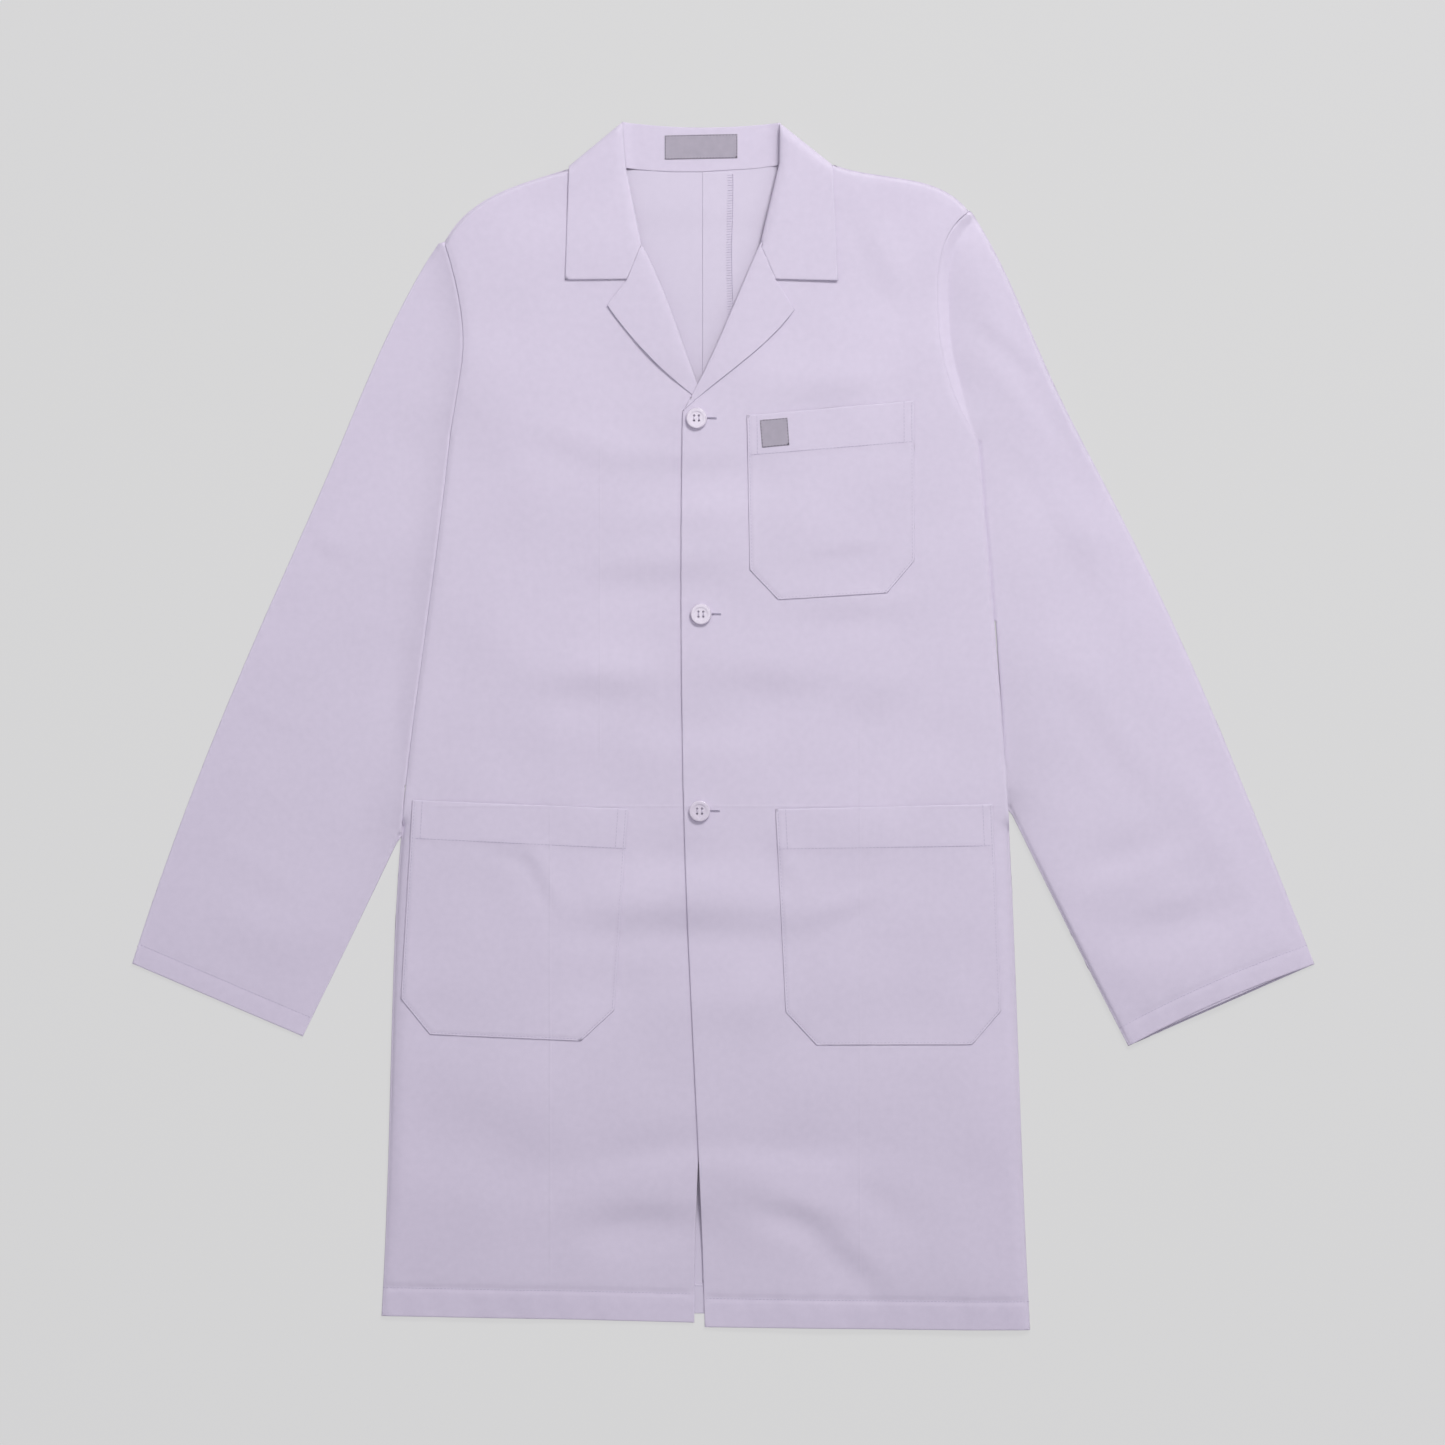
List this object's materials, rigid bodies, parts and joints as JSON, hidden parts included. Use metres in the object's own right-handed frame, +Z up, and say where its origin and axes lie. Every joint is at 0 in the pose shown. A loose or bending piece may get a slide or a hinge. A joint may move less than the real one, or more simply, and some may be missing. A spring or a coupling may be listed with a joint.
{
  "type": "lab coat",
  "caption": "Long-sleeved lab coat laid flat, with a notched collar, buttoned front and patch pockets; fronts fold open and sleeves fold over the body.",
  "frame": {"origin": "on the table under the middle of the coat's overall box", "axes": "+X across the coat towards the wearer's left sleeve, +Y towards the collar, +Z up off the table, out of the coat's front"},
  "size_m": [1.0104, 1.0326, 0.0176],
  "materials": {
    "coat_cloth": "matt poly-cotton plain weave",
    "interlining": "matt bonded interlining",
    "label": "woven satin label",
    "sewing_thread": "polyester sewing thread",
    "button": "polished polyester"
  },
  "bodies": {
    "coat": {"left_back_panel": "coat_cloth", "right_back_panel": "coat_cloth", "centre_back_allowance": "coat_cloth", "back_hem": "coat_cloth", "collar_fall": "coat_cloth", "collar_interlining": "interlining", "collar_stand": "coat_cloth", "neck_label": "label", "left_collar_turn": "coat_cloth", "right_collar_turn": "coat_cloth", "left_front_side": "coat_cloth", "right_front_side": "coat_cloth", "left_sleeve_cap_top": "coat_cloth", "left_sleeve_cap_under": "coat_cloth", "right_sleeve_cap_top": "coat_cloth", "right_sleeve_cap_under": "coat_cloth", "chest_pocket_side": "coat_cloth", "left_pocket_side": "coat_cloth", "right_pocket_side": "coat_cloth"},
    "left_front": {"left_front_panel": "coat_cloth", "left_facing": "coat_cloth", "left_interlining": "interlining", "left_lapel_under": "coat_cloth", "left_lapel_facing": "coat_cloth", "left_under_collar": "coat_cloth", "left_upper_collar": "coat_cloth", "left_front_hem": "coat_cloth", "chest_pocket": "coat_cloth", "chest_pocket_band": "coat_cloth", "chest_pocket_label": "label", "left_pocket": "coat_cloth", "left_pocket_band": "coat_cloth", "buttonhole_stitching": "sewing_thread"},
    "right_front": {"right_front_panel": "coat_cloth", "right_facing": "coat_cloth", "right_interlining": "interlining", "right_lapel_under": "coat_cloth", "right_lapel_facing": "coat_cloth", "right_under_collar": "coat_cloth", "right_upper_collar": "coat_cloth", "right_front_hem": "coat_cloth", "right_pocket": "coat_cloth", "right_pocket_band": "coat_cloth", "button_shanks": "sewing_thread"},
    "left_sleeve": {"left_top_sleeve": "coat_cloth", "left_under_sleeve": "coat_cloth", "left_cuff_hem": "coat_cloth"},
    "right_sleeve": {"right_top_sleeve": "coat_cloth", "right_under_sleeve": "coat_cloth", "right_cuff_hem": "coat_cloth"},
    "button_1": {"button_1": "button", "button_thread_1": "sewing_thread"},
    "button_2": {"button_2": "button", "button_thread_2": "sewing_thread"},
    "button_3": {"button_3": "button", "button_thread_3": "sewing_thread"}
  },
  "joints": [
    {"name": "left_front", "type": "hinge", "parent": "coat", "child": "left_front", "pos_m": [0.0944, 0.4792, 0.0188], "axis": [0.1561, -0.9877, 0], "range_deg": [-155, 0]},
    {"name": "right_front", "type": "hinge", "parent": "coat", "child": "right_front", "pos_m": [-0.1325, 0.4758, 0.0188], "axis": [0.1505, 0.9886, 0], "range_deg": [-124, 0]},
    {"name": "left_sleeve", "type": "hinge", "parent": "coat", "child": "left_sleeve", "pos_m": [0.2122, 0.4383, 0.013], "axis": [0.0606, -0.9982, 0], "range_deg": [0, 160]},
    {"name": "right_sleeve", "type": "hinge", "parent": "coat", "child": "right_sleeve", "pos_m": [-0.2433, 0.4118, 0.013], "axis": [0.063, 0.998, 0], "range_deg": [0, 160]},
    {"name": "button_1", "type": "hinge", "parent": "right_front", "child": "button_1", "pos_m": [-0.0228, 0.2622, 0.0114], "axis": [0, 0, 1], "range_deg": [-40, 40]},
    {"name": "button_2", "type": "hinge", "parent": "right_front", "child": "button_2", "pos_m": [-0.0191, 0.0951, 0.0114], "axis": [0, 0, 1], "range_deg": [-40, 40]},
    {"name": "button_3", "type": "hinge", "parent": "right_front", "child": "button_3", "pos_m": [-0.0202, -0.0727, 0.0114], "axis": [0, 0, 1], "range_deg": [-40, 40]}
  ],
  "couplings": [
    {"joint": "right_front", "follows": "left_front", "ratio": 0.8}
  ]
}
